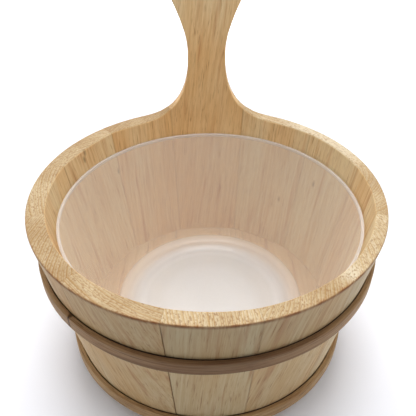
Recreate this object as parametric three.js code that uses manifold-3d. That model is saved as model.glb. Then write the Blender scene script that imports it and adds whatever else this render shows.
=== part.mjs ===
// Sauna bucket: tapered wooden staves round a dowelled bottom, two bent-wood hoops,
// one long stave that rises as the handle, and a frosted plastic liner that lifts out.
// Millimetres, +Z up, the staves' feet on z = 0, the handle at the back on +Y.
import * as THREE from 'three';
import Module from 'manifold-3d';
import { mergeVertices } from 'three/addons/utils/BufferGeometryUtils.js';

// Staves
const RIM_RADIUS = 130;
const STAVE_HEIGHT = 142;
const TAPER = 0.157; // radius lost for each millimetre below the rim
const STAVE_EDGE = 11; // thickness at the joints
const FACE_CROWN = 1.6; // a stave's inner face is flatter than a circle, so its middle is this much thicker
const BORE_OFFSET = 2.5; // the hollow lies this far to the right of the outside, so the left rim is the thicker
const EDGE_ROUND = 1.2; // round-over along the rim and round the handle
const FOOT_CHAMFER = 1;
const STAVE_WIDTHS = [32, 32, 29, 28, 32, 29, 25.5, 30.5, 33, 30, 30, 29]; // handle stave first, then clockwise
const GAP = 0.3; // clearance between pieces that touch

// Handle, heights above the rim
const NECK_HALF_WIDTH = 16.4;
const NECK_HEIGHT = 55;
const SHOULDER_REACH = 41.7; // from the neck's edge out to where the rim is level again
const SHOULDER_POWER = 2.5; // 2 would make the shoulder a quarter ellipse; more fills its corner
const FLARE_HALF_WIDTH = 28.3;
const FLARE_HEIGHT = 96.5;
const HEAD_HALF_WIDTH = 34.5;
const HEAD_HEIGHT = 122;
const HANDLE_HEIGHT = 148;

// Bottom
const CHIME = 11; // foot of the staves to the underside of the bottom
const BOARD_THICKNESS = 11;
const TONGUE_THICKNESS = 7; // edge of the bottom that enters the groove in the staves
const CROZE_DEPTH = 4;
const DOWEL_DIAMETER = 6;
const DOWEL_LENGTH = 24;
const DOWEL_SPACING = 110;

// Hoops
const HOOP_HEIGHT = 10;
const HOOP_THICKNESS = 3.9; // at the top edge
const HOOP_RELIEF = 0.8; // bevel inside the top edge, seen as a dark line against the staves
const HOOP_RELIEF_DEPTH = 2.5;
const HOOP_EDGE_ROUND = 1;
const HOOP_SLIT = 0.5; // butt joint
const UPPER_HOOP_DROP = 36; // rim down to the hoop's top edge
const LOWER_HOOP_RISE = 20.8; // foot of the staves up to the hoop's top edge
const UPPER_HOOP_JOINT = 224; // degrees clockwise from the handle
const LOWER_HOOP_JOINT = 40;

// Liner
const LINER_DROP = 17.5; // rim of the staves down to the rim of the liner
const LINER_CLEARANCE = 0.4; // all round at its rim
const LINER_WALL = 1.6;
const LINER_LEDGE_RADIUS = 78;
const LINER_LEDGE_WIDTH = 8;
const LINER_STEP = 2.5; // ledge down to the floor
const LINER_SLOPE = 10; // width of the ring that slopes from the ledge to the floor
const LINER_FILLET = 3;

// Facets
const STAVE_STEPS = 8;
const HOOP_STEPS = 72;
const LINER_STEPS = 72;
const ROUND_STEPS = 3;

const wasm = await Module();
wasm.setup();

const STAVE_WOOD = new THREE.MeshStandardMaterial({ color: 0xd2b080, roughness: 0.62, metalness: 0 });
const HOOP_WOOD = new THREE.MeshStandardMaterial({ color: 0x8f7154, roughness: 0.6, metalness: 0 });
const BOTTOM_WOOD = new THREE.MeshStandardMaterial({ color: 0xcdb083, roughness: 0.7, metalness: 0 });
const FROSTED_PLASTIC = new THREE.MeshStandardMaterial({
  color: 0xe6dedb,
  roughness: 0.4,
  metalness: 0,
  transparent: true,
  opacity: 0.5,
});

const boardTop = CHIME + BOARD_THICKNESS;
const linerTop = STAVE_HEIGHT - LINER_DROP;

// Outside of the staves at a height, and the hollow inside them measured from its own axis.
function outerRadius(z) {
  return RIM_RADIUS - TAPER * (STAVE_HEIGHT - z);
}

function boreRadius(z) {
  return outerRadius(z) - STAVE_EDGE;
}

// Distance from the outside's axis to a circle of the hollow, in one direction.
function reachTo(radius, angle) {
  return BORE_OFFSET * Math.sin(angle) + Math.sqrt(radius ** 2 - (BORE_OFFSET * Math.cos(angle)) ** 2);
}

// Angles run clockwise from the handle, seen from above.
function polar(radius, angle, z) {
  return new THREE.Vector3(radius * Math.sin(angle), radius * Math.cos(angle), z);
}

// How far a rounded edge has drawn a face in, at a distance from the edge.
function roundOff(distance, radius) {
  if (distance >= radius) {
    return 0;
  }
  return radius - Math.sqrt(radius ** 2 - (radius - distance) ** 2);
}

// Distances from an edge that give the steps of its round-over.
function roundDepths(radius) {
  const depths = [];
  for (let step = 0; step <= ROUND_STEPS; step += 1) {
    depths.push(radius * (1 - Math.sin((step / ROUND_STEPS) * (Math.PI / 2))));
  }
  return depths;
}

// A solid through a row of matching sections, each anticlockwise as seen from the end of the row.
function loft(sections, firstOutline, lastOutline) {
  const count = sections[0].length;
  const last = (sections.length - 1) * count;
  const index = [];
  for (let row = 0; row < sections.length - 1; row += 1) {
    for (let k = 0; k < count; k += 1) {
      const a = row * count + k;
      const b = row * count + ((k + 1) % count);
      index.push(a, b, b + count, a, b + count, a + count);
    }
  }
  for (const [a, b, c] of THREE.ShapeUtils.triangulateShape(firstOutline, [])) {
    index.push(c, b, a);
  }
  for (const [a, b, c] of THREE.ShapeUtils.triangulateShape(lastOutline, [])) {
    index.push(last + a, last + b, last + c);
  }
  const geometry = new THREE.BufferGeometry().setFromPoints(sections.flat());
  geometry.setIndex(index);
  return geometry;
}

function toSolid(geometry) {
  const bare = geometry.clone();
  bare.deleteAttribute('normal');
  bare.deleteAttribute('uv');
  const merged = mergeVertices(bare);
  const mesh = new wasm.Mesh({
    numProp: 3,
    vertProperties: new Float32Array(merged.attributes.position.array),
    triVerts: new Uint32Array(merged.index.array),
  });
  return new wasm.Manifold(mesh);
}

function toGeometry(solid) {
  const mesh = solid.getMesh();
  const geometry = new THREE.BufferGeometry();
  geometry.setAttribute('position', new THREE.BufferAttribute(mesh.vertProperties, mesh.numProp));
  geometry.setIndex(new THREE.BufferAttribute(mesh.triVerts, 1));
  return geometry;
}

function piece(name, geometry, material) {
  const mesh = new THREE.Mesh(geometry, material);
  mesh.name = name;
  return mesh;
}

// A turned shape, its profile given as radius and height.
function turned(profile, steps) {
  return new THREE.LatheGeometry(profile, steps).rotateX(Math.PI / 2);
}

// Shoulders: the rim climbs to the handle's neck along a quarter of a full-cornered ellipse, seen from the front.
function shoulderHeight(x) {
  const fromEnd = (NECK_HALF_WIDTH + SHOULDER_REACH - Math.abs(x)) / SHOULDER_REACH;
  if (fromEnd <= 0) {
    return 0;
  }
  return NECK_HEIGHT * (1 - (1 - Math.min(fromEnd, 1) ** SHOULDER_POWER) ** (1 / SHOULDER_POWER));
}

// The groove that holds the bottom.
const crozeTop = boardTop + GAP;
const crozeFoot = boardTop - TONGUE_THICKNESS - GAP;
const crozeRadius = boreRadius(crozeFoot) + CROZE_DEPTH;

// Section of a stave as radius and height, at one angle; across runs from -1 to 1 over its width.
function staveSection(angle, across) {
  const crown = FACE_CROWN * (1 - across ** 2);
  const inner = (z) => reachTo(boreRadius(z), angle) - crown;
  const atBack = Math.cos(angle) > 0;
  const climb = (radius) => (atBack ? shoulderHeight(radius * Math.sin(angle)) : 0);
  const outerTop = STAVE_HEIGHT + climb(RIM_RADIUS);
  const innerTop = STAVE_HEIGHT + climb(inner(STAVE_HEIGHT));
  const depths = roundDepths(EDGE_ROUND);
  const section = [];
  section.push([outerRadius(0) - FOOT_CHAMFER, 0]);
  section.push([outerRadius(FOOT_CHAMFER), FOOT_CHAMFER]);
  for (const depth of depths) {
    const z = outerTop - depth;
    section.push([outerRadius(z) - roundOff(depth, EDGE_ROUND), z]);
  }
  for (const depth of depths.toReversed()) {
    const z = innerTop - depth;
    section.push([inner(z) + roundOff(depth, EDGE_ROUND), z]);
  }
  section.push([inner(crozeTop), crozeTop]);
  section.push([reachTo(crozeRadius, angle), crozeTop]);
  section.push([reachTo(crozeRadius, angle), crozeFoot]);
  section.push([inner(crozeFoot), crozeFoot]);
  section.push([inner(FOOT_CHAMFER), FOOT_CHAMFER]);
  section.push([inner(0) + FOOT_CHAMFER, 0]);
  return section;
}

// A stave between two joints, each joint face standing back by half the gap.
function stave(from, to) {
  const middle = (from + to) / 2;
  const half = (to - from) / 2;
  const outlines = [];
  const sections = [];
  for (let step = 0; step <= STAVE_STEPS; step += 1) {
    const across = (2 * step) / STAVE_STEPS - 1;
    const section = staveSection(middle + across * half, across);
    outlines.push(section.map(([radius, z]) => new THREE.Vector2(radius, z)));
    sections.push(section.map(([radius, z]) => {
      const angle = middle + across * (half - GAP / 2 / radius);
      return polar(radius, angle, z);
    }));
  }
  return loft(sections, outlines[0], outlines[STAVE_STEPS]);
}

// Half of the handle's front outline from the shoulder up: half width and height above the rim.
class ShoulderCurve extends THREE.Curve {
  getPoint(share, target = new THREE.Vector2()) {
    const turn = share * (Math.PI / 2);
    const inwards = Math.sin(turn) ** (2 / SHOULDER_POWER);
    const level = Math.cos(turn) ** (2 / SHOULDER_POWER);
    return target.set(NECK_HALF_WIDTH + SHOULDER_REACH * (1 - inwards), NECK_HEIGHT * (1 - level));
  }
}

const flareDirection = new THREE.Vector2(0.43, 0.9);
const flareEnd = new THREE.Vector2(FLARE_HALF_WIDTH, FLARE_HEIGHT);
const headSide = new THREE.Vector2(HEAD_HALF_WIDTH, HEAD_HEIGHT);
const headTop = new THREE.Vector2(0, HANDLE_HEIGHT);
const flareCurve = new THREE.CubicBezierCurve(
  new THREE.Vector2(NECK_HALF_WIDTH, NECK_HEIGHT),
  new THREE.Vector2(NECK_HALF_WIDTH, NECK_HEIGHT + 0.34 * (FLARE_HEIGHT - NECK_HEIGHT)),
  flareEnd.clone().addScaledVector(flareDirection, -0.3 * (FLARE_HEIGHT - NECK_HEIGHT)),
  flareEnd,
);
const cheekCurve = new THREE.CubicBezierCurve(
  flareEnd,
  flareEnd.clone().addScaledVector(flareDirection, 0.5 * (HEAD_HEIGHT - FLARE_HEIGHT)),
  new THREE.Vector2(HEAD_HALF_WIDTH, HEAD_HEIGHT - 0.25 * (HEAD_HEIGHT - FLARE_HEIGHT)),
  headSide,
);
const crownCurve = new THREE.CubicBezierCurve(
  headSide,
  new THREE.Vector2(HEAD_HALF_WIDTH, HEAD_HEIGHT + 0.62 * (HANDLE_HEIGHT - HEAD_HEIGHT)),
  new THREE.Vector2(0.57 * HEAD_HALF_WIDTH, HANDLE_HEIGHT),
  headTop,
);
const outlineCurves = [new ShoulderCurve(), flareCurve, cheekCurve, crownCurve];

function outlinePoints(stepsPerCurve) {
  const points = [];
  for (const curve of outlineCurves) {
    points.push(...curve.getPoints(stepsPerCurve).slice(1));
  }
  return points;
}

const EDGE_SAMPLES = 60;
const edgeOfHandle = outlinePoints(EDGE_SAMPLES);

// How far the rounded edge has drawn in the handle's faces at a place on its front view.
function handleRound(x, rise) {
  const place = new THREE.Vector2(Math.abs(x), rise);
  const distance = Math.min(...edgeOfHandle.map((point) => point.distanceTo(place)));
  return roundOff(distance, EDGE_ROUND);
}

// Level section of the handle stave, inner face first; the outline narrows it above the shoulders.
const FACE_PLACES = [-1, -0.97, -0.9, -0.75, -0.45, 0, 0.45, 0.75, 0.9, 0.97, 1];

function handleSection(z, half, outlineHalfWidth, chamfer) {
  const level = Math.min(z, STAVE_HEIGHT);
  const rise = z - STAVE_HEIGHT;
  const lean = Math.max(0, rise) * TAPER;
  const outer = outerRadius(level);
  const bore = boreRadius(level);
  const jointAngle = (radius) => half - GAP / 2 / radius;
  const halfWidth = (jointX) => (rise < NECK_HEIGHT ? Math.min(jointX, outlineHalfWidth) : outlineHalfWidth);
  const section = [];
  for (const place of FACE_PLACES) {
    const jointReach = reachTo(bore, Math.sign(place) * half);
    const jointX = jointReach * Math.sin(jointAngle(jointReach));
    const x = place * halfWidth(jointX);
    const crown = FACE_CROWN * (1 - (x / jointX) ** 2);
    const y = Math.sqrt(bore ** 2 - (x - BORE_OFFSET) ** 2) - crown + lean;
    section.push(new THREE.Vector3(x, y + handleRound(x, rise) + chamfer, z));
  }
  for (const place of FACE_PLACES.toReversed()) {
    const x = place * halfWidth(outer * Math.sin(jointAngle(outer)));
    const y = Math.sqrt(outer ** 2 - x ** 2) + lean;
    section.push(new THREE.Vector3(x, y - handleRound(x, rise) - chamfer, z));
  }
  return section;
}

const OUTLINE_STEPS = 9;
const HEAD_FLAT = 3; // half width of the level facet that closes the top of the head

// The handle stave: level sections from the foot to the top of the head, less the croze.
function handleStave(half) {
  const wide = RIM_RADIUS;
  const sections = [
    handleSection(0, half, wide, FOOT_CHAMFER),
    handleSection(FOOT_CHAMFER, half, wide, 0),
    handleSection(STAVE_HEIGHT - EDGE_ROUND, half, wide, 0),
  ];
  const jointRise = shoulderHeight(RIM_RADIUS * Math.sin(half));
  for (const point of outlinePoints(OUTLINE_STEPS)) {
    if (point.y > jointRise && point.x > HEAD_FLAT) {
      sections.push(handleSection(STAVE_HEIGHT + point.y, half, point.x, 0));
    }
  }
  const flat = (section) => section.map((point) => new THREE.Vector2(point.x, point.y));
  const body = toSolid(loft(sections, flat(sections[0]), flat(sections.at(-1))));
  const groove = turned(
    [
      new THREE.Vector2(0, crozeFoot),
      new THREE.Vector2(crozeRadius, crozeFoot),
      new THREE.Vector2(crozeRadius, crozeTop),
      new THREE.Vector2(0, crozeTop),
    ],
    LINER_STEPS,
  ).translate(BORE_OFFSET, 0, 0);
  return toGeometry(body.subtract(toSolid(groove)));
}

// A hoop: inner face along the taper, outer face upright, top edge relieved inside.
function hoop(top, jointDegrees) {
  const foot = top - HOOP_HEIGHT;
  const inner = (z) => outerRadius(z) + GAP;
  const outer = outerRadius(top) + HOOP_THICKNESS;
  const depths = roundDepths(HOOP_EDGE_ROUND);
  const section = [[inner(foot), foot]];
  for (const depth of depths.toReversed()) {
    section.push([outer - roundOff(depth, HOOP_EDGE_ROUND), foot + depth]);
  }
  for (const depth of depths) {
    section.push([outer - roundOff(depth, HOOP_EDGE_ROUND), top - depth]);
  }
  section.push([inner(top) + HOOP_RELIEF, top]);
  section.push([inner(top - HOOP_RELIEF_DEPTH), top - HOOP_RELIEF_DEPTH]);
  const outline = section.map(([radius, z]) => new THREE.Vector2(radius, z));
  const start = THREE.MathUtils.degToRad(jointDegrees) + HOOP_SLIT / 2 / outer;
  const sweep = 2 * Math.PI - HOOP_SLIT / outer;
  const sections = [];
  for (let step = 0; step <= HOOP_STEPS; step += 1) {
    const angle = start + (sweep * step) / HOOP_STEPS;
    sections.push(section.map(([radius, z]) => polar(radius, angle, z)));
  }
  return loft(sections, outline, outline);
}

// The bottom: one turned disc with a tongue all round, sawn into planks that dowels hold edge to edge.
function bottom() {
  const tongueFoot = boardTop - TONGUE_THICKNESS;
  const edge = crozeRadius - GAP;
  const body = boreRadius(CHIME) - FACE_CROWN - GAP;
  const disc = toSolid(turned(
    [
      new THREE.Vector2(0, CHIME),
      new THREE.Vector2(body, CHIME),
      new THREE.Vector2(body, tongueFoot),
      new THREE.Vector2(edge, tongueFoot),
      new THREE.Vector2(edge, boardTop),
      new THREE.Vector2(0, boardTop),
    ],
    LINER_STEPS,
  ));
  const names = ['left', 'middle', 'right'];
  const plankWidth = (2 * edge) / names.length;
  const jointPlaces = [-plankWidth / 2, plankWidth / 2];
  const holeRadius = DOWEL_DIAMETER / 2 + GAP;
  const dowelLevel = CHIME + BOARD_THICKNESS / 2;
  const lying = (radius, length) => new THREE.CylinderGeometry(radius, radius, length, 16).rotateZ(Math.PI / 2);
  const pieces = new THREE.Group();
  let drilled = disc;
  for (const x of jointPlaces) {
    for (const y of [-DOWEL_SPACING / 2, DOWEL_SPACING / 2]) {
      const hole = lying(holeRadius, DOWEL_LENGTH + 2 * GAP).translate(x, y, dowelLevel);
      drilled = drilled.subtract(toSolid(hole));
      const dowel = piece(
        `bottom_dowel_${pieces.children.length + 1}`,
        lying(DOWEL_DIAMETER / 2, DOWEL_LENGTH).translate(x, y, dowelLevel),
        BOTTOM_WOOD,
      );
      pieces.add(dowel);
    }
  }
  names.forEach((name, order) => {
    const x = (order - (names.length - 1) / 2) * plankWidth;
    const sawn = new THREE.BoxGeometry(plankWidth - GAP, 3 * edge, 3 * boardTop).translate(x, 0, 0);
    const plank = drilled.intersect(toSolid(sawn));
    pieces.add(piece(`bottom_plank_${name}`, toGeometry(plank), BOTTOM_WOOD));
  });
  pieces.position.x = BORE_OFFSET;
  return pieces;
}

// Moves each point of a profile sideways, to its right, by the wall.
function thickened(profile, wall) {
  return profile.map((point, k) => {
    const before = profile[Math.max(k - 1, 0)];
    const after = profile[Math.min(k + 1, profile.length - 1)];
    const along = after.clone().sub(before).normalize();
    return new THREE.Vector2(point.x + along.y * wall, point.y - along.x * wall);
  });
}

// The liner: a floor, a ring that slopes up to a ledge, and a leaning wall with a level rim, all of one wall.
function liner() {
  const floor = boardTop + GAP + LINER_WALL;
  const ledge = floor + LINER_STEP;
  const well = LINER_LEDGE_RADIUS - LINER_LEDGE_WIDTH;
  const rimRadius = boreRadius(linerTop) - FACE_CROWN - LINER_CLEARANCE;
  const wallTop = rimRadius - LINER_WALL;
  const wallLean = (wallTop - LINER_LEDGE_RADIUS) / (linerTop - ledge);
  const inside = new THREE.Path();
  inside.moveTo(0, floor);
  inside.lineTo(well - LINER_SLOPE, floor);
  inside.quadraticCurveTo(well - 0.75 * LINER_SLOPE, floor, well - LINER_SLOPE / 2, floor + LINER_STEP / 2);
  inside.quadraticCurveTo(well - 0.25 * LINER_SLOPE, ledge, well, ledge);
  inside.lineTo(LINER_LEDGE_RADIUS - LINER_FILLET / 2, ledge);
  inside.quadraticCurveTo(
    LINER_LEDGE_RADIUS,
    ledge,
    LINER_LEDGE_RADIUS + wallLean * LINER_FILLET,
    ledge + LINER_FILLET,
  );
  inside.lineTo(wallTop, linerTop);
  const inner = inside.getPoints(ROUND_STEPS);
  const outer = thickened(inner, LINER_WALL);
  outer[0].x = 0;
  outer.at(-1).set(rimRadius, linerTop);
  return turned([...outer, ...inner.toReversed()], LINER_STEPS).translate(BORE_OFFSET, 0, 0);
}

// Assembly
const bucket = new THREE.Group();
const widthSum = STAVE_WIDTHS.reduce((sum, width) => sum + width, 0);
const radians = STAVE_WIDTHS.map((width) => (2 * Math.PI * width) / widthSum);
bucket.add(piece('handle_stave', handleStave(radians[0] / 2), STAVE_WOOD));
let joint = radians[0] / 2;
radians.slice(1).forEach((width, order) => {
  const name = `stave_${String(order + 1).padStart(2, '0')}`;
  bucket.add(piece(name, stave(joint, joint + width), STAVE_WOOD));
  joint += width;
});
bucket.add(bottom());
bucket.add(piece('hoop_upper', hoop(STAVE_HEIGHT - UPPER_HOOP_DROP, UPPER_HOOP_JOINT), HOOP_WOOD));
bucket.add(piece('hoop_lower', hoop(LOWER_HOOP_RISE, LOWER_HOOP_JOINT), HOOP_WOOD));
bucket.add(piece('liner', liner(), FROSTED_PLASTIC));

// The origin is under the middle of the whole, between the front of the rim and the back of the handle.
const middle = new THREE.Box3().setFromObject(bucket).getCenter(new THREE.Vector3());
bucket.position.set(-middle.x, -middle.y, 0);

export default bucket;
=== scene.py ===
"""The sauna bucket's looks: finished staves, handle, hoops, bottom and liner around the solids, in a pale
studio."""

import math
from functools import partial

import bmesh
import bpy
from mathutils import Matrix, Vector


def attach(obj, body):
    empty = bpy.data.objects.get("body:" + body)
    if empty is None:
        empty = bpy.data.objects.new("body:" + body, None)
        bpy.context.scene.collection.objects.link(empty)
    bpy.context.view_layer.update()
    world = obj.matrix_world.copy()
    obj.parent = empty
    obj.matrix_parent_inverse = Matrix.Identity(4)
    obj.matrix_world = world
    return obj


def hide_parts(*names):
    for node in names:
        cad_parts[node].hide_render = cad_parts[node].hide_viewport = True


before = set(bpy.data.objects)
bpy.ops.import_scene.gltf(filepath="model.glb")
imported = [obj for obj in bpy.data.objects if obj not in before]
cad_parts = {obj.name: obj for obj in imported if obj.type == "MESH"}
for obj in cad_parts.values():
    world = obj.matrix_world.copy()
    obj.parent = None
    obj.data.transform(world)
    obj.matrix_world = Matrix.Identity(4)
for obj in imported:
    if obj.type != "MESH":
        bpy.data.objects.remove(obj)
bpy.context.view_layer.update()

# Sizes in millimetres, as in the solids. Angles are in degrees clockwise from the handle, seen from
# above.
MM = 0.001
OUTSIDE_AXIS = Vector((0.01, -11.616, 0))
BORE_OFFSET = 2.5  # the hollow and the liner lie this far to the right of the outside
RIM_RADIUS = 130
STAVE_HEIGHT = 142
TAPER = 0.157
STAVE_EDGE = 11
FACE_CROWN, FRONT_CROWN = 1.6, 0.3  # the inner faces are flatter than round beside the handle
HANDLE_SIDE = 60  # a stave whose middle lies within this angle is beside the handle
EDGE_ROUND = 1.2
ARRIS = 0.15  # softened corners along the joints
FOOT_CHAMFER = 1
BOARD_ARRIS = 0.3
TIGHT_JOINT = 0.06  # the staves are glued, and only one joint has opened
OPEN_JOINT, OPEN_JOINT_GAP = 191.5, 0.45
JOINT_NEAR = 0.3  # faces nearer to a joint's middle belong to it
CROZE_FOOT, CROZE_TOP, CROZE_DEPTH = 14.7, 22.3, 4
BOARD_TOP = 22

# The handle's front outline: half widths, and heights above the rim.
NECK_HALF_WIDTH, NECK_HEIGHT = 16.4, 55
SHOULDER_REACH, SHOULDER_POWER = 41.7, 2.5
FLARE_HALF_WIDTH, FLARE_HEIGHT = 28.3, 96.5
HEAD_HALF_WIDTH, HEAD_HEIGHT, HANDLE_HEIGHT = 34.5, 122, 148
FLARE_DIRECTION = Vector((0.43, 0.9))
SHOULDER_STEPS, NECK_STEPS, CHEEK_STEPS, CROWN_STEPS = 9, 12, 6, 4
SHOULDER_FADE = 30  # the shoulder's climb fades out of the painted shade measured from the rim over this height, above the upper hoop
HANDLE_BELOW = 6  # the handle has no rim, so it counts as at least this far below one
PALE_HEAD, PALE_HEAD_FROM, PALE_HEAD_TO = 0.4, 200, 240  # the tone falls by so much between these heights

# The hoops sit tight on the staves, with a gap above where their inner edges are eased, and a slit at the
# joint.
HOOP_HEIGHT, HOOP_THICKNESS, HOOP_ROUND, HOOP_SLIT = 10, 3.9, 1, 0.5
HOOP_SEAT, HOOP_ARRIS = 0.06, 0.3
HOOP_RELIEF, HOOP_RELIEF_DEPTH, HOOP_RELIEF_ARRIS = 0.5, 2.5, 0.2
HOOP_CHIP_WIDTH, HOOP_CHIP_DEPTH = 1.6, 2.6
HOOP_STEPS = 180
HOOP_GRAIN = Vector((34, -9, 0))  # where in the pattern of the grain the strips are cut
HOOP_LEAN = 0.012  # how far their grain leans for each millimetre along
HOOP_END_TONE = -0.3
UPPER_HOOP_TOP, LOWER_HOOP_TOP = 106, 20.8

LINER_TOP, LINER_WALL, LINER_CLEARANCE, LINER_FOOT_GAP = 124.5, 1.6, 0.4, 0.3
LINER_RIM_ROUND, LINER_BEAD, LINER_BEAD_HEIGHT = 0.4, 0.6, 1.3
LINER_LEDGE_RADIUS, LINER_LEDGE_WIDTH, LINER_STEP, LINER_SLOPE = 78, 8, 2.5, 10
LINER_BEND_WIDTH, LINER_BEND_RISE = 7, 16  # the wall runs out into the ledge in a wide curve
LINER_BEND_STEPS, LINER_STEPS = 8, 144
LINER_WALL_SHARES = (0.25, 0.4, 0.7, 1)
LINER_SPAN = 220  # a little more than the way from the middle of the floor to the rim

# Each stave: the joints where it starts and ends, where the tree's pith lay from its middle (across and
# outwards), how far its grain leans for each millimetre of height, and its tone from pale to brown.
STAVES = {
    "handle_stave": (-16, 16, 95, 60, -0.120, 0.77),
    "stave_01": (16, 48, -20, -120, -0.020, 0.25),
    "stave_02": (48, 77, 25, -90, 0.015, 0.05),
    "stave_03": (77, 105, -22, -34, 0.030, 0.30),
    "stave_04": (105, 137, 70, -95, -0.050, 0.10),
    "stave_05": (137, 166, 90, -70, 0.120, 0.45),
    "stave_06": (166, 191.5, 130, 12, 0.060, 0.08),
    "stave_07": (191.5, 222, -60, -100, -0.280, 0.42),
    "stave_08": (222, 255, -90, -70, -0.220, 0.50),
    "stave_09": (255, 285, 15, -110, -0.030, 0.30),
    "stave_10": (285, 315, -25, -80, 0.045, 0.35),
    "stave_11": (315, 344, 40, -100, -0.035, 0.70),
}
STAVE_ALONG = 700  # each stave is cut so much further along the tree
OUTWARD_LEAN = 0.3  # the grain leans outwards by this share of its lean along the rim

# The boards of the bottom, and where their pith lay to the side of the frame's middle and below it.
BOARDS = {"bottom_plank_left": -90, "bottom_plank_middle": 20, "bottom_plank_right": 130}
BOARD_PITH_OUT = -60
BOARD_ALONG = 900
BOARD_TONE, BOARD_TONE_STEP = 0.6, 0.05
DOWELS = ("bottom_dowel_1", "bottom_dowel_2", "bottom_dowel_3", "bottom_dowel_4")

# The hoops: upper edge, joint of the ends, tone, and how far the tone changes towards the front.
HOOPS = {
    "hoop_upper": (UPPER_HOOP_TOP, 224, 0.72, -0.57),
    "hoop_lower": (LOWER_HOOP_TOP, 40, 0.8, -0.15),
}

# Small knots on the inner faces, as places in the frame.
KNOTS = (
    (-101.8, 43.1, 139.1),
    (-102.1, 40.6, 133.8),
    (-79.3, 65.8, 106.4),
    (94.4, 52.1, 101.3),
    (69.1, 72, 70),
)

# Pale patches on the rim: a small one at the front right, and a wide painted highlight at the back right.
# Each: its place, and where it starts to fade and ends.
RIM_PALE_AND_LIT_PATCHES = (((86, -100, 142), 4, 10), ((101, 63, 146), 26, 52))

# Places of a stave's upright lines of points, from one joint to the other, and heights of its rows: at
# the foot, outside the croze and above it.
ACROSS = (-1, -0.78, -0.6, -0.4, -0.2, 0, 0.2, 0.4, 0.6, 0.78, 1)
FOOT_ROWS = (0, 6)
CROZE_ROWS = (13.5, 16, 21, 23.5)
ROWS = (34, 46, 58, 70, 82, 94, 106, 118, 130)
LAYERS = ("row", "column", "inside")  # where a stave's points lie, noted on them while it is made

MERGE = 0.002  # points nearer to each other are one
SHARP_ANGLE = 40  # edges that turn by more are shaded as corners


def outer_radius(height):
    return RIM_RADIUS - TAPER * (STAVE_HEIGHT - height)


def bore_radius(height):
    return outer_radius(height) - STAVE_EDGE


def reach(radius, angle):
    """From the outside's axis to a circle round the hollow's axis."""
    return BORE_OFFSET * math.sin(angle) + math.sqrt(radius**2 - (BORE_OFFSET * math.cos(angle)) ** 2)


def shoulder(x):
    """How far the rim climbs beside the handle."""
    from_end = (NECK_HALF_WIDTH + SHOULDER_REACH - abs(x)) / SHOULDER_REACH
    if from_end <= 0:
        return 0
    return NECK_HEIGHT * (1 - (1 - min(from_end, 1) ** SHOULDER_POWER) ** (1 / SHOULDER_POWER))


def joint_gap(degrees, height):
    """The joint that has opened is still closed at the rim."""
    return OPEN_JOINT_GAP if degrees == OPEN_JOINT and height < STAVE_HEIGHT else TIGHT_JOINT


def spot(x, y, height):
    """A point given from the outside's axis, in the frame."""
    return (OUTSIDE_AXIS + Vector((x, y, height))) * MM


def polar(radius, angle, height):
    return spot(radius * math.sin(angle), radius * math.cos(angle), height)


def curve(points, share):
    """A point of the cubic curve with these four control points."""
    while len(points) > 1:
        points = [a.lerp(b, share) for a, b in zip(points, points[1:])]
    return points[0]


def part_way(value, first, last):
    """How far a value has come from the first to the last, from 0 to 1."""
    return min(1, max(0, (value - first) / (last - first)))


def start_piece():
    """Leaves edit mode with nothing selected, so that the next primitive stands alone."""
    if bpy.context.mode != "OBJECT":
        bpy.ops.object.mode_set(mode="OBJECT")
    bpy.ops.object.select_all(action="DESELECT")


def round_edges(piece, chosen, width, segments):
    """Bevels the edges of the piece in edit mode that chosen() picks."""
    bpy.ops.mesh.select_mode(type="EDGE")
    bpy.ops.mesh.select_all(action="DESELECT")
    shape = bmesh.from_edit_mesh(piece.data)
    for edge in [e for e in shape.edges if chosen(e)]:
        edge.select_set(True)
    bmesh.update_edit_mesh(piece.data)
    bpy.ops.mesh.bevel(offset=width * MM, segments=segments, profile=0.5, affect="EDGES")


def finish_piece(piece, name, body, nodes):
    """Closes the mesh, smooths its shading and sets it in place of the solids."""
    bpy.ops.mesh.select_all(action="SELECT")
    bpy.ops.mesh.remove_doubles(threshold=MERGE * MM)
    bpy.ops.mesh.normals_make_consistent(inside=False)
    bpy.ops.object.mode_set(mode="OBJECT")
    bpy.ops.object.shade_smooth_by_angle(angle=math.radians(SHARP_ANGLE))
    bpy.ops.object.modifier_add(type="WEIGHTED_NORMAL")
    piece.modifiers[-1].keep_sharp = True
    bpy.ops.object.modifier_apply(modifier=piece.modifiers[-1].name)
    piece.name = piece.data.name = name
    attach(piece, body)
    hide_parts(*nodes)


def mark(piece, name, values):
    """Writes one number or vector for each point of the piece, for its material to read."""
    vectors = isinstance(values[0], Vector)
    data = piece.data.attributes.new(name, "FLOAT_VECTOR" if vectors else "FLOAT", "POINT").data
    if vectors:
        data.foreach_set("vector", [number for value in values for number in value])
    else:
        data.foreach_set("value", values)


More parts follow.
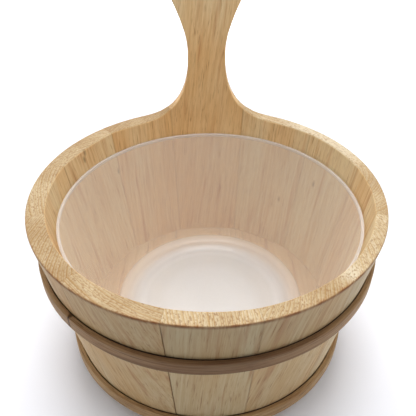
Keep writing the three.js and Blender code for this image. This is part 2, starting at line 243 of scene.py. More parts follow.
def stave_rows(start, end):
    """Rows of points on the outer and inner face of a stave, from its foot to the rim."""
    middle = math.radians(start + end) / 2
    half = math.radians(end - start) / 2
    crown = FRONT_CROWN if HANDLE_SIDE < (start + end) / 2 < 360 - HANDLE_SIDE else FACE_CROWN
    outer, inner = [], []

    def face(across, height, groove):
        angle = middle + across * half
        if groove:
            return reach(bore_radius(CROZE_FOOT) + CROZE_DEPTH, angle)
        return reach(bore_radius(height), angle) - crown * (1 - across**2)

    def put(row, across, radius, height):
        gap = joint_gap(start if across < 0 else end, height)
        row.append(polar(radius, middle + across * (half - gap / 2 / radius), height))

    # Each row's height on the outer and on the inner face, and whether it lies in the croze there.
    in_croze = ((CROZE_FOOT, False), (CROZE_FOOT, True), (CROZE_TOP, True), (CROZE_TOP, False))
    rows = [(height, height, False) for height in FOOT_ROWS]
    rows += [(height, *inside) for height, inside in zip(CROZE_ROWS, in_croze)]
    rows += [(height, height, False) for height in ROWS]
    for outside, inside, groove in rows:
        outer.append([])
        inner.append([])
        for across in ACROSS:
            put(outer[-1], across, outer_radius(outside), outside)
            put(inner[-1], across, face(across, inside, groove), inside)
    outer.append([])
    inner.append([])
    for across in ACROSS:
        angle = middle + across * half
        at_back = math.cos(angle) > 0
        climb = shoulder(RIM_RADIUS * math.sin(angle)) if at_back else 0
        put(outer[-1], across, outer_radius(STAVE_HEIGHT + climb), STAVE_HEIGHT + climb)
        climb = shoulder(face(across, STAVE_HEIGHT, False) * math.sin(angle)) if at_back else 0
        put(inner[-1], across, face(across, STAVE_HEIGHT + climb, False), STAVE_HEIGHT + climb)
    return outer, inner


def handle_rows(start, end):
    """The handle stave's rows: a stave below, then the neck, flare and head between their outlines."""
    outer, inner = stave_rows(start, end)
    half = math.radians(end - start) / 2
    joint = RIM_RADIUS * math.sin(half)
    inner_joint = (RIM_RADIUS - STAVE_EDGE) * math.sin(half)
    for row, across_reach in ((outer, joint), (inner, inner_joint)):
        climb = shoulder(across_reach)
        radius = outer_radius(STAVE_HEIGHT + climb)
        row.pop()
        row.append([])
        for across in ACROSS:
            angle = across * half
            inside = reach(radius - STAVE_EDGE, angle) - FACE_CROWN * (1 - across**2)
            distance = radius if row is outer else inside
            turn = across * (half - TIGHT_JOINT / 2 / distance)
            row[-1].append(polar(distance, turn, STAVE_HEIGHT + climb))

    def front(x, rise):
        crown = FACE_CROWN * (1 - (x / inner_joint) ** 2)
        round_face = math.sqrt(bore_radius(STAVE_HEIGHT) ** 2 - (x - BORE_OFFSET) ** 2)
        return spot(x, round_face - crown + TAPER * rise, STAVE_HEIGHT + rise)

    def back(x, rise):
        return spot(x, math.sqrt(RIM_RADIUS**2 - x**2) + TAPER * rise, STAVE_HEIGHT + rise)

    shoulder_end = NECK_HALF_WIDTH + SHOULDER_REACH
    for step in range(1, SHOULDER_STEPS + 1):
        for rows, place, across_reach in ((outer, back, joint), (inner, front, inner_joint)):
            first = math.asin(((shoulder_end - across_reach) / SHOULDER_REACH) ** (SHOULDER_POWER / 2))
            turn = first + (math.pi / 2 - first) * step / SHOULDER_STEPS
            width = shoulder_end - SHOULDER_REACH * math.sin(turn) ** (2 / SHOULDER_POWER)
            rise = shoulder(width)
            rows.append([place(across * width, rise) for across in ACROSS])

    neck = Vector((NECK_HALF_WIDTH, NECK_HEIGHT))
    flare = Vector((FLARE_HALF_WIDTH, FLARE_HEIGHT))
    cheek = Vector((HEAD_HALF_WIDTH, HEAD_HEIGHT))
    top = Vector((0, HANDLE_HEIGHT))
    neck_rise = FLARE_HEIGHT - NECK_HEIGHT
    cheek_rise = HEAD_HEIGHT - FLARE_HEIGHT
    crown_rise = HANDLE_HEIGHT - HEAD_HEIGHT
    up = Vector((0, 1))
    # The shares in these curves say how far each holds the direction of its ends.
    neck_curve = [neck, neck + 0.34 * neck_rise * up, flare - 0.3 * neck_rise * FLARE_DIRECTION, flare]
    cheek_curve = [flare, flare + 0.5 * cheek_rise * FLARE_DIRECTION, cheek - 0.25 * cheek_rise * up, cheek]
    crown_curve = [cheek, cheek + 0.62 * crown_rise * up, top + Vector((0.57 * HEAD_HALF_WIDTH, 0)), top]
    for sides, steps in ((neck_curve, NECK_STEPS), (cheek_curve, CHEEK_STEPS)):
        for step in range(1, steps + 1):
            width, rise = curve(sides, step / steps)
            for rows, place in ((outer, back), (inner, front)):
                rows.append([place(across * width, rise) for across in ACROSS])
    # The rows over the head bend from a level line to the upper half of the crown.
    turning = curve(crown_curve, 0.5)
    for step in range(1, CROWN_STEPS + 1):
        share = step / CROWN_STEPS
        corner = curve(crown_curve, share / 2)
        for rows, place in ((outer, back), (inner, front)):
            row = []
            for across in ACROSS:
                over = curve(crown_curve, 1 - abs(across) / 2)
                bent = math.copysign(over.x / turning.x, across)
                width = corner.x * (across + (bent - across) * share)
                row.append(place(width, corner.y + share**2 * (over.y - turning.y)))
            rows.append(row)
    return outer, inner


def layers_of(shape):
    return [shape.verts.layers.int[layer] for layer in LAYERS]


def stave(name, start, end, pith_across, pith_out, lean, tone):
    """A stave from an upright sheet of squares: laid on the outer face, extruded to the inner one, and
    its edges rounded."""
    is_handle = name == "handle_stave"
    outer, inner = handle_rows(start, end) if is_handle else stave_rows(start, end)
    joint_row = len(FOOT_ROWS) + len(CROZE_ROWS) + len(ROWS)
    last_row, last_column = len(outer) - 1, len(ACROSS) - 1
    start_piece()
    squares = {"x_subdivisions": last_column, "y_subdivisions": last_row}
    bpy.ops.mesh.primitive_grid_add(size=1, enter_editmode=True, **squares)
    piece = bpy.context.object
    shape = bmesh.from_edit_mesh(piece.data)
    for layer in LAYERS:
        shape.verts.layers.int.new(layer)
    row_of, column_of, inside_of = layers_of(shape)
    for vertex in shape.verts:
        vertex[row_of] = round((vertex.co.y + 0.5) * last_row)
        vertex[column_of] = round((vertex.co.x + 0.5) * last_column)
        vertex.co = outer[vertex[row_of]][vertex[column_of]]
    bmesh.update_edit_mesh(piece.data)
    bpy.ops.mesh.extrude_region_move()
    shape = bmesh.from_edit_mesh(piece.data)
    row_of, column_of, inside_of = layers_of(shape)
    for vertex in [v for v in shape.verts if v.select]:
        vertex.co = inner[vertex[row_of]][vertex[column_of]]
        vertex[inside_of] = 1
    bmesh.update_edit_mesh(piece.data)

    def on_rim(edge):
        a, b = edge.verts
        level = a[row_of] == b[row_of] == last_row
        beside = a[column_of] == b[column_of] and a[column_of] in (0, last_column)
        return a[inside_of] == b[inside_of] and (level or beside and min(a[row_of], b[row_of]) >= joint_row)

    def on_foot(edge):
        a, b = edge.verts
        return a[inside_of] == b[inside_of] and a[row_of] == b[row_of] == 0

    middle = math.radians(start + end) / 2
    joints = []
    for degrees in (start, end):
        angle = math.radians(degrees)
        across = Vector((math.cos(angle), -math.sin(angle), 0))
        joints.append((across, across.dot(spot(0, 0, 0))))

    def on_joint(face):
        for across, joint in joints:
            if all(abs(across.dot(vertex.co) - joint) < JOINT_NEAR * MM for vertex in face.verts):
                return True
        return False

    def on_arris(edge):
        return len(edge.link_faces) == 2 and on_joint(edge.link_faces[0]) != on_joint(edge.link_faces[1])

    round_edges(piece, on_rim, EDGE_ROUND, 5)
    shape = bmesh.from_edit_mesh(piece.data)
    row_of, column_of, inside_of = layers_of(shape)
    round_edges(piece, on_foot, FOOT_CHAMFER, 1)
    round_edges(piece, on_arris, ARRIS, 2)
    finish_piece(piece, f"{name}_wood", "bucket", [name])
    for layer in LAYERS:
        piece.data.attributes.remove(piece.data.attributes[layer])

    # Places in the tree, across, outwards and along the grain from its pith. Places by the rim: below it,
    # inside the outer face, and from back to front as 0 to 1. How brown the wood is, and how far the next
    # joint lies.
    order = list(STAVES).index(name)
    along_rim = Vector((math.cos(middle), -math.sin(middle), 0))
    outwards = Vector((math.sin(middle), math.cos(middle), 0))
    centre = polar(RIM_RADIUS - STAVE_EDGE / 2, middle, 0)
    grain, from_rim, tones, seams = [], [], [], []
    for vertex in piece.data.vertices:
        seams.append(min(abs(across.dot(vertex.co) - joint) for across, joint in joints))
        place = (vertex.co - centre) / MM
        height = place.z
        across = place.dot(along_rim) + lean * height - pith_across
        out = place.dot(outwards) + TAPER * (STAVE_HEIGHT - height) - OUTWARD_LEAN * lean * height - pith_out
        grain.append(Vector((across, out, height + STAVE_ALONG * order)) * MM)
        from_axis = vertex.co / MM - OUTSIDE_AXIS
        climb = shoulder(from_axis.x) if from_axis.y > 0 else 0
        climb *= part_way(height, UPPER_HOOP_TOP, UPPER_HOOP_TOP + SHOULDER_FADE)
        below = STAVE_HEIGHT + climb - height
        below = max(below, HANDLE_BELOW) if is_handle else below
        front = 0.5 - 0.5 * from_axis.y / from_axis.xy.length
        from_rim.append(Vector((below * MM, (outer_radius(height) - from_axis.xy.length) * MM, front)))
        tones.append(tone - PALE_HEAD * part_way(height, PALE_HEAD_FROM, PALE_HEAD_TO))
    mark(piece, "grain", grain)
    mark(piece, "from_rim", from_rim)
    mark(piece, "tone", tones)
    mark(piece, "seam", seams)
    return piece


def turned(section, centre, first, sweep, steps):
    """A section of points (radius, height), spun clockwise about an upright axis. A full turn has no end
    faces."""
    start_piece()
    full = sweep >= 2 * math.pi
    fill = "NOTHING" if full else "NGON"
    bpy.ops.mesh.primitive_circle_add(vertices=len(section), fill_type=fill, enter_editmode=True)
    piece = bpy.context.object
    shape = bmesh.from_edit_mesh(piece.data)
    shape.verts.ensure_lookup_table()
    for vertex, (radius, height) in zip(list(shape.verts), section):
        vertex.co = (centre + Vector((radius * math.sin(first), radius * math.cos(first), height))) * MM
    middle = centre.xy * MM
    on_axis = [e for e in shape.edges if all((v.co.xy - middle).length < MERGE * MM for v in e.verts)]
    if on_axis:
        bpy.ops.mesh.select_all(action="DESELECT")
        for edge in on_axis:
            edge.select_set(True)
        bmesh.update_edit_mesh(piece.data)
        bpy.ops.mesh.delete(type="EDGE")
    bmesh.update_edit_mesh(piece.data)
    bpy.ops.mesh.select_all(action="SELECT")
    bpy.ops.mesh.spin(steps=steps, angle=sweep, center=centre * MM, axis=(0, 0, -1))
    return piece


def arc(centre, radius, first, last, steps):
    """Points of a round-over in a section, by degrees from outwards to up."""
    turns = [math.radians(first + (last - first) * step / steps) for step in range(steps + 1)]
    return [(centre[0] + radius * math.cos(turn), centre[1] + radius * math.sin(turn)) for turn in turns]


def hoop(name, top, joint, tone, front):
    """A bent strip, butted at its joint, a little uneven along its length, with a chipped corner at each
    end. front is added to its tone where it faces the front."""
    foot = top - HOOP_HEIGHT
    outside = outer_radius(top) + HOOP_THICKNESS
    corner = outside - HOOP_ROUND

    def seat(height):
        return outer_radius(height) + HOOP_SEAT

    eased = seat(top) + HOOP_RELIEF
    section = [(seat(foot) + HOOP_ARRIS, foot), *arc((corner, foot + HOOP_ROUND), HOOP_ROUND, -90, 0, 4)]
    section += arc((corner, top - HOOP_ROUND), HOOP_ROUND, 0, 90, 4)
    section += [(eased + HOOP_RELIEF_ARRIS, top), (eased, top - HOOP_ARRIS)]
    section += [(seat(top - HOOP_RELIEF_DEPTH), top - HOOP_RELIEF_DEPTH), (seat(foot), foot + HOOP_ARRIS)]
    slit = HOOP_SLIT / outside
    piece = turned(section, OUTSIDE_AXIS, math.radians(joint) + slit / 2, 2 * math.pi - slit, HOOP_STEPS)
    shape = bmesh.from_edit_mesh(piece.data)
    for vertex in shape.verts:
        flat = vertex.co / MM - OUTSIDE_AXIS
        angle = (math.atan2(flat.x, flat.y) - math.radians(joint)) % (2 * math.pi)
        radius = flat.xy.length
        end = min(angle, 2 * math.pi - angle) * radius
        # The thickness wavers by up to 0.4 mm and the edges by up to 0.3 mm.
        swell = 0.12 * (1 + math.sin(3 * angle + joint)) + 0.08 * (1 + math.sin(8 * angle))
        sway = 0.2 * math.sin(2 * angle + joint) + 0.12 * math.sin(5 * angle + 1)
        # The ends' upper inner corners are chipped. The next points, about 4 mm on, are drawn up to the
        # chips.
        if end < 1 and flat.z > top - 0.5 and radius < outside - 1.5:
            sway -= HOOP_CHIP_DEPTH
        if 1 < end < 7:
            angle += (HOOP_CHIP_WIDTH - end) / radius * (1 if angle < math.pi else -1)
        turn = angle + math.radians(joint)
        outer_share = max(0, (radius - seat(flat.z)) / HOOP_THICKNESS)
        vertex.co = polar(radius + swell * min(1, outer_share), turn, flat.z + sway)
    bmesh.update_edit_mesh(piece.data)
    finish_piece(piece, f"{name}_strip", "bucket", [name])
    grain, tones = [], []
    for vertex in piece.data.vertices:
        flat = vertex.co / MM - OUTSIDE_AXIS
        turn = math.atan2(flat.x, flat.y)
        angle = (turn - math.radians(joint)) % (2 * math.pi)
        rise = flat.z - top + HOOP_HEIGHT / 2
        along = outside * angle
        grain.append((HOOP_GRAIN + Vector((rise + HOOP_LEAN * along, flat.xy.length - outside, along))) * MM)
        at_end = min(angle, 2 * math.pi - angle) * outside < HOOP_SLIT
        tones.append(HOOP_END_TONE if at_end else tone + front * (0.5 - 0.5 * math.cos(turn)) ** 4)
    mark(piece, "grain", grain)
    mark(piece, "tone", tones)
    return piece


def liner():
    """The liner's wall in section, spun: a floor in a shallow well, a sloping ring, a ledge and a leaning
    wall with a level rim."""
    floor = BOARD_TOP + LINER_FOOT_GAP + LINER_WALL
    ledge = floor + LINER_STEP
    well = LINER_LEDGE_RADIUS - LINER_LEDGE_WIDTH
    rim_radius = bore_radius(LINER_TOP) - FACE_CROWN - LINER_CLEARANCE
    wall_top = rim_radius - LINER_WALL
    lean = (wall_top - LINER_LEDGE_RADIUS) / (LINER_TOP - ledge)
    inside = [Vector((0, floor)), Vector((well - LINER_SLOPE, floor))]

    def bend(*points):
        corners = [inside[-1], *(Vector(point) for point in points)]
        inside.extend(curve(corners, step / LINER_BEND_STEPS) for step in range(1, LINER_BEND_STEPS + 1))

    bend((well - 0.75 * LINER_SLOPE, floor), (well - LINER_SLOPE / 2, floor + LINER_STEP / 2))
    bend((well - 0.25 * LINER_SLOPE, ledge), (well, ledge))
    inside.append(Vector((LINER_LEDGE_RADIUS - LINER_BEND_WIDTH, ledge)))
    wall_foot = Vector((LINER_LEDGE_RADIUS, ledge))
    bend(wall_foot, wall_foot + LINER_BEND_RISE * Vector((lean, 1)))
    for share in LINER_WALL_SHARES:
        inside.append(wall_foot.lerp(Vector((wall_top, LINER_TOP)), share))
    outside = []
    for order, point in enumerate(inside):
        along = (inside[min(order + 1, len(inside) - 1)] - inside[max(order - 1, 0)]).normalized()
        outside.append(point + LINER_WALL * Vector((along.y, -along.x)))
    outside[0].x = 0
    corner, edge = LINER_RIM_ROUND, wall_top - LINER_BEAD
    cut = 0.3 * corner
    rim = [(rim_radius - lean * corner, LINER_TOP - corner), (rim_radius - cut, LINER_TOP - cut)]
    rim += [(rim_radius - corner, LINER_TOP), (edge + corner, LINER_TOP)]
    rim += [(edge + cut, LINER_TOP - cut), (edge, LINER_TOP - corner)]
    # A bead stiffens the rim on the inside.
    for out, down in ((0.1, 0.5), (0.5, 0.75), (1, 1)):
        drop = down * LINER_BEAD_HEIGHT
        rim.append((edge + out * LINER_BEAD - lean * drop, LINER_TOP - drop))
    section = [*outside[:-1], *rim, *reversed(inside[:-1])]
    axis = OUTSIDE_AXIS + Vector((BORE_OFFSET, 0, 0))
    piece = turned(section, axis, 0, 2 * math.pi, LINER_STEPS)
    finish_piece(piece, "liner_shell", "liner", ["liner"])
    # The way from the middle of the floor, out to the wall and up it.
    ways = [vertex.co / MM - axis for vertex in piece.data.vertices]
    mark(piece, "span", [(way.xy.length + way.z - floor) * MM for way in ways])
    return piece


def board(node, pith_across, order):
    """A board of the bottom: the solid's own mesh, closed, with its arrises softened."""
    start_piece()
    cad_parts[node].select_set(True)
    bpy.context.view_layer.objects.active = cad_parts[node]
    bpy.ops.object.duplicate()
    piece = bpy.context.object
    bpy.ops.object.mode_set(mode="EDIT")
    bpy.ops.mesh.select_all(action="SELECT")
    bpy.ops.mesh.remove_doubles(threshold=MERGE * MM)
    bpy.ops.mesh.dissolve_limited(angle_limit=math.radians(1))

    def is_arris(edge):
        return len(edge.link_faces) == 2 and edge.calc_face_angle() > math.radians(60)

    round_edges(piece, is_arris, BOARD_ARRIS, 2)
    finish_piece(piece, f"{node}_wood", "bucket", [node])
    grain = []
    for vertex in piece.data.vertices:
        place = vertex.co / MM
        along = place.y + BOARD_ALONG * order
        grain.append(Vector((place.x - pith_across, place.z - BOARD_PITH_OUT, along)) * MM)
    # A board is far from the rim and the staves' joints. The -1 tells the material that it is no stave.
    mark(piece, "grain", grain)
    # Its material greys the board with painted shade, as much as the staves' band under the rim.
    mark(piece, "from_rim", [Vector((20 * MM, 0, -1))] * len(grain))
    mark(piece, "tone", [BOARD_TONE + BOARD_TONE_STEP * order] * len(grain))
    mark(piece, "seam", [10 * MM] * len(grain))
    return piece


def linear(code):
    """A colour written as sRGB hex, as the linear numbers that shaders take."""
    parts = [int(code[place : place + 2], 16) / 255 for place in (1, 3, 5)]
    return (*(p / 12.92 if p <= 0.04045 else ((p + 0.055) / 1.055) ** 2.4 for p in parts), 1)


# Settings of nodes that multiply, and of Mix nodes for colours. A Mix node's sockets for colours are 0
# for the share, 6 and 7 for the two colours, and 2 for the result.
TIMES = {"operation": "MULTIPLY"}
MIXED = {"data_type": "RGBA"}
MULTIPLIED = {"data_type": "RGBA", "blend_type": "MULTIPLY"}


def add_node(tree, kind, inputs=(), out=0, stops=(), **settings):
    """Adds a node, its type named without ShaderNode, and gives one of its outputs, or all where out is
    None. inputs are values or other nodes' outputs, in the order of the sockets or by their names or
    numbers. stops are a ramp's places and colours."""
    made = tree.nodes.new(f"ShaderNode{kind}")
    for key, value in settings.items():
        setattr(made, key, value)
    for key, value in inputs.items() if isinstance(inputs, dict) else enumerate(inputs):
        if isinstance(value, bpy.types.NodeSocket):
            tree.links.new(value, made.inputs[key])
        else:
            made.inputs[key].default_value = value
    if stops:
        elements = made.color_ramp.elements
        while len(elements) < len(stops):
            elements.new(1)
        for element, (place, code) in zip(elements, stops):
            element.position = place
            element.color = linear(code) if isinstance(code, str) else (code, code, code, 1)
    return made.outputs if out is None else made.outputs[out]


def material(name):
    """A new material, and the function that adds nodes to it."""
    made = bpy.data.materials.new(name)
    made.use_nodes = True
    made.node_tree.nodes.clear()
    return made, partial(add_node, made.node_tree)


def streaked(add, place, across, along, detail):
    """Noise drawn out along the grain, with patches of this width and length in millimetres."""
    scale = (1 / (across * MM), 1 / (across * MM), 1 / (along * MM))
    stretched = add("VectorMath", [place, scale], **TIMES)
    return add("TexNoise", {"Vector": stretched, "Scale": 1.0, "Detail": detail, "Roughness": 0.55})


def stave_wood():
    """Rubberwood, planed and sanded, without finish: straw to honey, rings as soft bands, pores as short
    strokes along the faces and as rows of brown dashes on the sawn ends. Matt, with a faint shine along
    the fibres. Pores and rings are drawn about twice as coarse as they are, so that they show."""
    made, add = material("planed_rubberwood")
    place = add("Attribute", out="Vector", attribute_name="grain")
    tone = add("Attribute", out="Fac", attribute_name="tone")
    seam = add("Attribute", out="Fac", attribute_name="seam")
    from_rim = add("Attribute", out="Vector", attribute_name="from_rim")
    below, inside, front = add("SeparateXYZ", [from_rim], None)
    in_frame = add("TexCoord", out="Object")
    height = add("SeparateXYZ", [in_frame], 2)
    upright = add("SeparateXYZ", [add("NewGeometry", out="Normal")], 2)
    level = add("Math", [upright], operation="ABSOLUTE")

    # Staves are sawn across above and below. The boards of the bottom lie flat.
    lying = add("MapRange", [level, 0.6, 0.9, 0.0, 1.0])
    of_stave = add("MapRange", [front, -0.5, 0.0, 0.0, 1.0])
    sawn_end = add("Math", [lying, of_stave], **TIMES)
    face = add("Math", [1.0, sawn_end], operation="SUBTRACT")

    # The rings wander over about 45 mm across the stem and 180 mm along it, by up to 3 mm.
    slow = add("VectorMath", [place, (1 / (45 * MM), 1 / (45 * MM), 1 / (180 * MM))], **TIMES)
    drift = add("TexNoise", {"Vector": slow, "Scale": 1.0, "Detail": 2.0}, "Color")
    shift = add("VectorMath", [drift, (0.5, 0.5, 0.5)], operation="SUBTRACT")
    shift = add("VectorMath", {0: shift, "Scale": 6 * MM}, operation="SCALE")
    bent = add("VectorMath", [place, shift], operation="ADD")
    across, out, along = add("SeparateXYZ", [bent], None)
    flat = add("VectorMath", [bent, (1, 1, 0)], **TIMES)
    radius = add("VectorMath", [flat], "Value", operation="LENGTH")
    rings = add("Math", [radius, 1 / (1.9 * MM)], **TIMES)
    uneven = add("TexNoise", {"W": rings, "Scale": 0.4, "Detail": 1.0}, noise_dimensions="1D")
    rings = add("Math", [uneven, 2.2, rings], operation="MULTIPLY_ADD")
    phase = add("Math", [rings], operation="FRACT")
    stops = [(0, "#ffffff"), (0.45, "#fbf7f0"), (0.8, "#ecd8b4"), (0.92, "#d9b57e"), (1, "#ffffff")]
    banded = add("ValToRGB", [phase], stops=stops)
    broad = streaked(add, bent, 30, 160, 2.0)
    warm = add("MapRange", [broad, 0.3, 0.7, -0.25, 0.25])
    warm = add("Math", [tone, warm], operation="ADD", use_clamp=True)
    colour = add("Mix", {0: warm, 6: linear("#ecd8ae"), 7: linear("#e9be82")}, 2, **MIXED)

    # Painted shade: the outside is greyed, most at the front and between the rim and the upper hoop, and the
    # boards of the bottom as much as that upper band.
    outside = add("MapRange", [inside, 1.5 * MM, 4 * MM, 1.0, 0.0])
    outside = add("Math", [outside, face], **TIMES)
    painted_shade = add("MapRange", [below, 36 * MM, 46 * MM, 0.6, 0.34])
    painted_shade = add("Math", [painted_shade, add("MapRange", [front, 0.7, 1.0, 0.0, 0.4])], operation="ADD")
    painted_shade = add("Math", [painted_shade, outside], **TIMES)
    colour = add("Mix", {0: painted_shade, 6: colour, 7: linear("#bcbbba")}, 2, **MULTIPLIED)
    # The glued joints between the staves show as fine brown lines.
    glued = add("MapRange", [seam, 0.2 * MM, 1.1 * MM, 0.24, 0.0])
    glued = add("Math", [glued, face], **TIMES)
    colour = add("Mix", {0: glued, 6: colour, 7: linear("#9a6f45")}, 2, **MULTIPLIED)
    # Painted shade under the hoops: the staves are darkened there, which shows as a dark line along the
    # hoops' upper edges and in their joints.
    for top in (UPPER_HOOP_TOP, LOWER_HOOP_TOP):
        foot = top - HOOP_HEIGHT
        painted_gap_shade = add("MapRange", [height, (top - 0.1) * MM, (top + 0.4) * MM, 0.85, 0.0])
        painted_gap_shade = add("Math", [painted_gap_shade, add("MapRange", [height, foot * MM, (foot + 1) * MM, 0.0, 1.0])], **TIMES)
        painted_gap_shade = add("Math", [painted_gap_shade, outside], **TIMES)
        colour = add("Mix", {0: painted_gap_shade, 6: colour, 7: linear("#38251a")}, 2, **MIXED)
    # Sawn ends are greyer, and show the rings most.
    sawn = add("Mix", {0: warm, 6: linear("#c8b99c"), 7: linear("#86724f")}, 2, **MIXED)
    colour = add("Mix", {0: add("Math", [sawn_end, 0.75], **TIMES), 6: colour, 7: sawn}, 2, **MIXED)
    ring_share = add("MapRange", [broad, 0.4, 0.65, 0.0, 0.3])
    ring_share = add("Math", [sawn_end, 0.75, ring_share], operation="MULTIPLY_ADD")
    colour = add("Mix", {0: ring_share, 6: colour, 7: banded}, 2, **MULTIPLIED)
    # Fibres, brown stains and open pores run along the faces.
    fibres = streaked(add, bent, 1.8, 70, 3.0)
    dark_fibres = add("MapRange", [fibres, 0.4, 0.75, 0.0, 0.4])
    colour = add("Mix", {0: dark_fibres, 6: colour, 7: linear("#d2ae7e")}, 2, **MULTIPLIED)
    stain = add("MapRange", [streaked(add, bent, 4, 90, 2.0), 0.55, 0.72, 0.0, 0.5])
    stain = add("Math", [stain, face], **TIMES)
    colour = add("Mix", {0: stain, 6: colour, 7: linear("#d0996a")}, 2, **MULTIPLIED)
    strokes = add("MapRange", [streaked(add, bent, 0.9, 20, 2.0), 0.59, 0.75, 0.0, 0.75])
    strokes = add("Math", [strokes, face], **TIMES)
    colour = add("Mix", {0: strokes, 6: colour, 7: linear("#b08459")}, 2, **MULTIPLIED)
    # The pale patches on the rim, the one at the back right a painted highlight, and the knots, which are
    # drawn out along the grain.
    for patch, near, far in RIM_PALE_AND_LIT_PATCHES:
        away = add("VectorMath", [in_frame, Vector(patch) * MM], "Value", operation="DISTANCE")
        pale_and_lit = add("MapRange", [away, near * MM, far * MM, 0.6, 0.0])
        pale_and_lit = add("Math", [pale_and_lit, sawn_end], **TIMES)
        colour = add("Mix", {0: pale_and_lit, 6: colour, 7: linear("#dccfb4")}, 2, **MIXED)
    for knot in KNOTS:
        away = add("VectorMath", [in_frame, Vector(knot) * MM], operation="SUBTRACT")
        away = add("VectorMath", [away, (1, 1, 0.45)], **TIMES)
        away = add("VectorMath", [away], "Value", operation="LENGTH")
        dark = add("MapRange", [away, 0.4 * MM, 2 * MM, 0.75, 0.0])
        colour = add("Mix", {0: dark, 6: colour, 7: linear("#6b4a2a")}, 2, **MIXED)
    # Pores crowd in the early part of each ring. Angles round the pith become lengths as if at 45 mm from
    # it, about half the usual way, so that the pores lie as dashes along the rings.
    turn = add("Math", [across, out], operation="ARCTAN2")
    by_rings = add("CombineXYZ", [radius, add("Math", [turn, 45 * MM], **TIMES), along])
    pores = streaked(add, by_rings, 0.9, 9, 1.0)
    crowded = add("Math", [pores, add("MapRange", [phase, 0.1, 0.6, 0.1, 0.0])], operation="ADD")
    deep = add("Math", [sawn_end, 0.6, 0.12], operation="MULTIPLY_ADD")
    pore_share = add("Math", [add("MapRange", [crowded, 0.58, 0.72, 0.0, 1.0]), deep], **TIMES)
    colour = add("Mix", {0: pore_share, 6: colour, 7: linear("#946a3b")}, 2, **MIXED)
    # At the front, painted shade along the rim's outer edge: a thin brown line under the edge, and orange
    # patches on its rounding.
    patchy = add("TexNoise", {"Vector": place, "Scale": 1 / (6 * MM), "Detail": 3.0})
    at_front = add("MapRange", [front, 0.6, 0.85, 0.0, 1.0])
    edge_shade_line = add("MapRange", [below, 1.2 * MM, 3 * MM, 1.0, 0.0])
    edge_shade_line = add("Math", [edge_shade_line, add("MapRange", [inside, 0.4 * MM, 1 * MM, 1.0, 0.0])], **TIMES)
    edge_shade_line = add("Math", [edge_shade_line, at_front], **TIMES)
    edge_shade_line = add("Math", [edge_shade_line, add("MapRange", [patchy, 0.3, 0.6, 0.35, 0.9])], **TIMES)
    colour = add("Mix", {0: edge_shade_line, 6: colour, 7: linear("#b08259")}, 2, **MULTIPLIED)
    edge_shade_patches = add("MapRange", [below, 0.2 * MM, 1 * MM, 1.0, 0.0])
    edge_shade_patches = add("Math", [edge_shade_patches, add("MapRange", [inside, 1 * MM, 3 * MM, 0.6, 0.0])], **TIMES)
    edge_shade_patches = add("Math", [edge_shade_patches, at_front], **TIMES)
    edge_shade_patches = add("Math", [edge_shade_patches, add("MapRange", [patchy, 0.45, 0.65, 0.0, 1.0])], **TIMES)
    colour = add("Mix", {0: edge_shade_patches, 6: colour, 7: linear("#eac596")}, 2, **MULTIPLIED)

    rough = add("MapRange", [fibres, 0.3, 0.7, 0.52, 0.68])
    relief = add("Math", [pore_share, -0.7, fibres], operation="MULTIPLY_ADD")
    bump = add("Bump", {"Strength": 0.3, "Distance": 0.2 * MM, "Height": relief})
    finish = {"Base Color": colour, "Roughness": rough, "Normal": bump, "Specular IOR Level": 0.35}
    add("OutputMaterial", [add("BsdfPrincipled", finish)], None)
    return made


def hoop_wood():
    """A riven strip of brown wood, shaved and bent green: fibres run the length of it as darker and paler
    streaks."""
    made, add = material("bent_brown_wood")
    place = add("Attribute", out="Vector", attribute_name="grain")
    tone = add("Attribute", out="Fac", attribute_name="tone")
    broad = streaked(add, place, 5, 90, 2.0)
    fibres = streaked(add, place, 0.9, 40, 3.0)
    pores = streaked(add, place, 0.7, 10, 1.0)
    uneven = add("Math", [broad, 0.5, tone], operation="MULTIPLY_ADD")
    stops = [(0, "#2a1d13"), (0.25, "#5f4429"), (0.5, "#876846"), (0.75, "#a6865d"), (1, "#c0a074")]
    colour = add("ValToRGB", [uneven], stops=stops)
    dark_fibres = add("MapRange", [fibres, 0.4, 0.7, 0.0, 0.7])
    colour = add("Mix", {0: dark_fibres, 6: colour, 7: linear("#b38a63")}, 2, **MULTIPLIED)
    pore_share = add("MapRange", [pores, 0.6, 0.72, 0.0, 0.6])
    colour = add("Mix", {0: pore_share, 6: colour, 7: linear("#54371f")}, 2, **MIXED)
    rough = add("MapRange", [fibres, 0.3, 0.7, 0.5, 0.7])
    relief = add("Math", [pore_share, -0.7, fibres], operation="MULTIPLY_ADD")
    bump = add("Bump", {"Strength": 0.5, "Distance": 0.3 * MM, "Height": relief})
    finish = {"Base Color": colour, "Roughness": rough, "Normal": bump, "Specular IOR Level": 0.35}
    add("OutputMaterial", [add("BsdfPrincipled", finish)], None)
    return made


def dowel_wood():
    """Turned birch pegs: pale, with fine lines along the peg. They run across the boards."""
    made, add = material("turned_birch")
    place = add("TexCoord", out="Object")
    along_peg = add("Mapping", {"Vector": place, "Rotation": (0, math.pi / 2, 0)})
    lines = streaked(add, along_peg, 0.8, 20, 2.0)
    colour = add("ValToRGB", [lines], stops=[(0.3, "#cfae80"), (0.7, "#e0c79d")])
    add("OutputMaterial", [add("BsdfPrincipled", {"Base Color": colour, "Roughness": 0.6})], None)
    return made


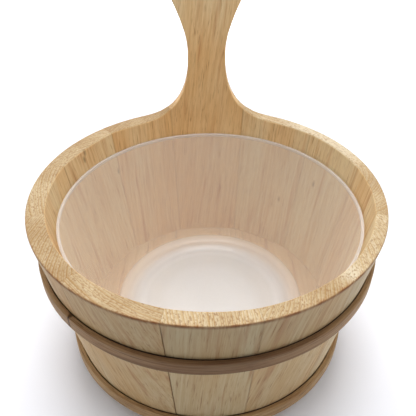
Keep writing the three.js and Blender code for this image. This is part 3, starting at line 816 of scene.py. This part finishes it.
def liner_plastic():
    """Natural polypropylene, moulded: milky. The thin wall only veils the wood behind it and takes on its
    colour. The floor, its ring and the rim, where the plastic is thicker or stands off the wood, look
    white. Each of the two surfaces veils what lies behind it."""
    made, add = material("frosted_polypropylene")
    span = add("Attribute", out="Fac", attribute_name="span")
    share = add("MapRange", [span, 0.0, LINER_SPAN * MM, 0.0, 1.0])
    # How milky and how white it is, by millimetres from the middle of the floor over its ring and up the
    # wall. Less milky between 46 and 54 mm, so that the wood shows more there: a painted shadow ring on the
    # floor.
    milkiness_with_shadow_ring = {0: 0.6, 22: 0.6, 36: 0.57, 46: 0.51, 54: 0.51, 58: 0.58, 65: 0.6, 69: 0.54, 71: 0.51}
    milkiness_with_shadow_ring |= {74: 0.46, 77: 0.53, 80: 0.56, 83: 0.5, 84.5: 0.25, 210.4: 0.25, 211.6: 0.5}
    whites = {0: "#e2e5e8", 56: "#e2e5e8", 66: "#dedddd", 76: "#e4dcd4", 83: "#e8dfd5", 85: "#f8f0e6"}
    whites |= {210.4: "#f8f0e6", 211.6: "#e3dedb"}
    veil = add("ValToRGB", [share], stops=[(way / LINER_SPAN, value) for way, value in milkiness_with_shadow_ring.items()])
    milk = add("ValToRGB", [share], stops=[(way / LINER_SPAN, code) for way, code in whites.items()])
    place = add("TexCoord", out="Object")
    grains = add("TexNoise", {"Vector": place, "Scale": 1 / (0.9 * MM), "Detail": 2.0})
    dull = add("MapRange", [grains, 0.3, 0.7, 0.0, 0.5])
    milk = add("Mix", {0: dull, 6: milk, 7: linear("#f6f5f4")}, 2, **MULTIPLIED)
    rough = add("MapRange", [grains, 0.3, 0.7, 0.3, 0.4])
    bump = add("Bump", {"Strength": 0.08, "Distance": 0.1 * MM, "Height": grains})
    finish = {"Base Color": milk, "Roughness": rough, "IOR": 1.49, "Normal": bump, "Alpha": veil}
    milky = add("BsdfPrincipled", finish)
    # Light falls through to the wood behind.
    passed = add("BsdfTransparent", {"Color": linear("#f8f6f4")})
    falling = add("LightPath", out="Is Shadow Ray")
    add("OutputMaterial", [add("MixShader", [falling, milky, passed])], None)
    return made


def dress(piece, finish):
    piece.data.materials.clear()
    piece.data.materials.append(finish)


def seen(add):
    """1 for rays that look at the floor or the room, straight or mirrored or through glass, and 0 for
    others."""
    path = add("LightPath", out=None)
    off_surfaces = add("Math", [path["Is Camera Ray"], path["Is Glossy Ray"]], operation="MAXIMUM")
    return add("Math", [off_surfaces, path["Is Transmission Ray"]], operation="MAXIMUM")


def softbox(name, place, size, level):
    """A square lamp far enough away to light evenly. level is how white a white card facing it would
    look."""
    lamp = bpy.data.lights.new(name, "AREA")
    lamp.shape = "SQUARE"
    lamp.size = size
    lamp.energy = level * math.pi**2 * place.length_squared
    made = bpy.data.objects.new(name, lamp)
    bpy.context.scene.collection.objects.link(made)
    made.location = place
    made.rotation_euler = (-place).to_track_quat("-Z", "Y").to_euler()
    made.visible_camera = False


# The pieces and their finishes.
rubberwood = stave_wood()
for name, values in STAVES.items():
    dress(stave(name, *values), rubberwood)
for order, (node, pith) in enumerate(BOARDS.items()):
    dress(board(node, pith, order), rubberwood)
brown_wood = hoop_wood()
for name, values in HOOPS.items():
    dress(hoop(name, *values), brown_wood)
dress(liner(), liner_plastic())
birch = dowel_wood()
for node in DOWELS:
    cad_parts[node].material_slots[0].material = birch

# A pale floor that looks white where no shadow falls, and far away.
start_piece()
bpy.ops.mesh.primitive_plane_add(size=8, location=(0, 0, 0))
floor = bpy.context.object
floor.name = "studio_floor"
paper, add = material("pale_studio_floor")
looked_at = seen(add)
place = add("TexCoord", out="Object")
mottled = add("TexNoise", {"Vector": place, "Scale": 1 / (2700 * MM), "Detail": 2.0})
colour = add("ValToRGB", [mottled], stops=[(0.3, "#e6e6e6"), (0.7, "#e8e8e8")])
colour = add("Mix", {0: looked_at, 6: colour, 7: linear("#f2f4fb")}, 2, **MIXED)
matt = add("BsdfDiffuse", {"Color": colour})
away = add("VectorMath", [place], "Value", operation="LENGTH")
strength = add("MapRange", [looked_at, 0.0, 1.0, 0.0, add("MapRange", [away, 0.5, 1.2, 0.02, 1.0])])
glow = add("Emission", {"Color": linear("#ffffff"), "Strength": strength})
add("OutputMaterial", [add("AddShader", [matt, glow])], None)
dress(floor, paper)

# Studio light: a room with a bright backdrop behind the bucket, and soft lamps overhead and high on three
# sides.
world = bpy.data.worlds.new("white_room")
bpy.context.scene.world = world
world.use_nodes = True
world.node_tree.nodes.clear()
add = partial(add_node, world.node_tree)
looked_at = seen(add)
way = add("TexCoord", out="Generated")
depth = add("VectorMath", [way, (-0.34, 0.94, 0)], "Value", operation="DOT_PRODUCT")
depth = add("MapRange", [depth, -1.0, 1.0, 0.0, 1.0])
room = add("ValToRGB", [depth], stops=[(0, 0.27), (0.25, 0.18), (0.5, 0.13), (0.75, 0.32), (1, 0.96)])
lit = add("MapRange", [room, 0.0, 1.0, 0.0, 1.5])
strength = add("MapRange", [looked_at, 0.0, 1.0, lit, 1.0])
add("OutputWorld", [add("Background", {"Color": linear("#ffffff"), "Strength": strength})], None)
softbox("overhead_softbox", Vector((0, 0, 5)), 2.0, 0.48)
softbox("back_softbox", Vector((0, 3.2, 3.83)), 3.0, 0.37)
softbox("right_softbox", Vector((3.2, 0, 3.83)), 3.0, 0.17)
softbox("left_softbox", Vector((-3.2, 0, 3.83)), 3.0, 0.09)

# The camera, fitted to the circles of the rim, the hoops and the liner in the photograph.
lens = bpy.data.cameras.new("camera")
lens.sensor_width = 36
lens.lens = 43.97
camera = bpy.data.objects.new("camera", lens)
bpy.context.scene.collection.objects.link(camera)
camera.location = (0, -0.3195, 0.3588)
camera.rotation_euler = (math.radians(52.587), 0, math.radians(-0.165))
bpy.context.scene.camera = camera
bpy.context.scene.view_settings.view_transform = "Standard"
